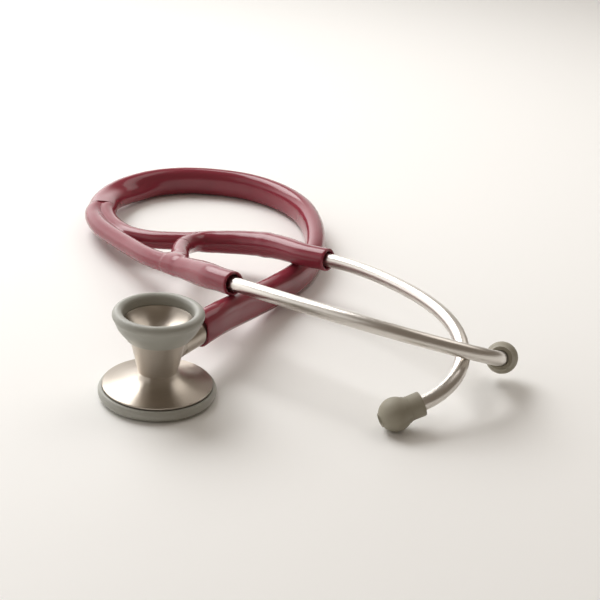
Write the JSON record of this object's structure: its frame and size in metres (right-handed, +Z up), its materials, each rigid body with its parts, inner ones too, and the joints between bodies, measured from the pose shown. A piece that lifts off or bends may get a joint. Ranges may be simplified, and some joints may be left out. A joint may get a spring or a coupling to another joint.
{
  "type": "stethoscope",
  "caption": "Acoustic stethoscope lying flat: diaphragm-and-bell chestpiece, looped twin-bore tubing, spring yoke, steel ear tubes and soft ear tips.",
  "frame": {"origin": "centre of the diaphragm's outer face, which rests on the table", "axes": "+Z up, from the diaphragm to the bell; +X towards the ear tips and +Y towards the far side of the tubing's loop"},
  "size_m": [0.2083, 0.269, 0.0384],
  "materials": {
    "tubing_pvc": "glossy burgundy flexible PVC",
    "chestpiece_steel": "satin turned stainless steel",
    "stem_steel": "satin turned stainless steel",
    "ear_tube_steel": "smooth drawn stainless steel, satin to polished",
    "spring_steel": "plain spring steel",
    "screw_steel": "machined stainless steel",
    "grey_silicone": "smooth grey non-chill ring, semi-matte",
    "diaphragm_resin": "glass-fibre reinforced resin sheet, satin",
    "ear_tip_rubber": "soft matte olive grey",
    "seal_rubber": "black nitrile"
  },
  "bodies": {
    "tubing": {"main_tube": "tubing_pvc", "front_branch": "tubing_pvc", "rear_branch": "tubing_pvc", "yoke_bridge": "tubing_pvc", "yoke_spring": "spring_steel", "stem": "stem_steel", "stem_seal": "seal_rubber"},
    "chestpiece": {"chestpiece_body": "chestpiece_steel", "bell_ring": "grey_silicone", "diaphragm_rim": "grey_silicone", "diaphragm": "diaphragm_resin", "detent_spring": "spring_steel", "detent_screw": "screw_steel", "retaining_screw": "screw_steel"},
    "detent_ball": {"detent_ball": "spring_steel"},
    "front_arm": {"front_arm": "tubing_pvc"},
    "front_ear": {"front_ear_tube": "ear_tube_steel", "front_tip_ferrule": "screw_steel"},
    "front_tip": {"front_ear_tip": "ear_tip_rubber"},
    "rear_arm": {"rear_arm": "tubing_pvc"},
    "rear_ear": {"rear_ear_tube": "ear_tube_steel", "rear_tip_ferrule": "screw_steel"},
    "rear_tip": {"rear_ear_tip": "ear_tip_rubber"}
  },
  "joints": [
    {"name": "chestpiece_swivel", "type": "hinge", "parent": "tubing", "child": "chestpiece", "pos_m": [0, 0, 0.0185], "axis": [0.5, 0.866, 0], "continuous": true},
    {"name": "detent_ball_press", "type": "slide", "parent": "chestpiece", "child": "detent_ball", "axis": [0, 0, 1], "range_m": [-0.0006, 0], "stiffness_N_per_m": 200, "deforming": ["detent_spring"]},
    {"name": "front_arm_spread", "type": "hinge", "parent": "tubing", "child": "front_arm", "pos_m": [-0.0002, 0.0851, 0.0206], "axis": [0.2211, 0.4522, 0.8641], "range_deg": [-25, 0], "stiffness_Nm_per_rad": 2.5},
    {"name": "rear_arm_spread", "type": "hinge", "parent": "tubing", "child": "rear_arm", "pos_m": [0.01, 0.1328, 0.0146], "axis": [-0.065, 0.1359, 0.9886], "range_deg": [-10, 0], "stiffness_Nm_per_rad": 2.5},
    {"name": "front_ear_tube_turn", "type": "hinge", "parent": "front_arm", "child": "front_ear", "pos_m": [0.02657, 0.05042, 0.02918], "axis": [0.6654, -0.7313, 0.1495], "range_deg": [0, 40]},
    {"name": "rear_ear_tube_turn", "type": "hinge", "parent": "rear_arm", "child": "rear_ear", "pos_m": [0.06741, 0.09832, 0.02321], "axis": [0.8086, -0.5789, 0.1045], "range_deg": [0, 40]},
    {"name": "front_tip_turn", "type": "hinge", "parent": "front_ear", "child": "front_tip", "pos_m": [0.14005, 0.02269, 0.0154], "axis": [0.1993, 0.8922, -0.4053], "continuous": true},
    {"name": "rear_tip_turn", "type": "hinge", "parent": "rear_ear", "child": "rear_tip", "pos_m": [0.10589, -0.01211, 0.01058], "axis": [-0.897, -0.3075, -0.3176], "continuous": true}
  ]
}
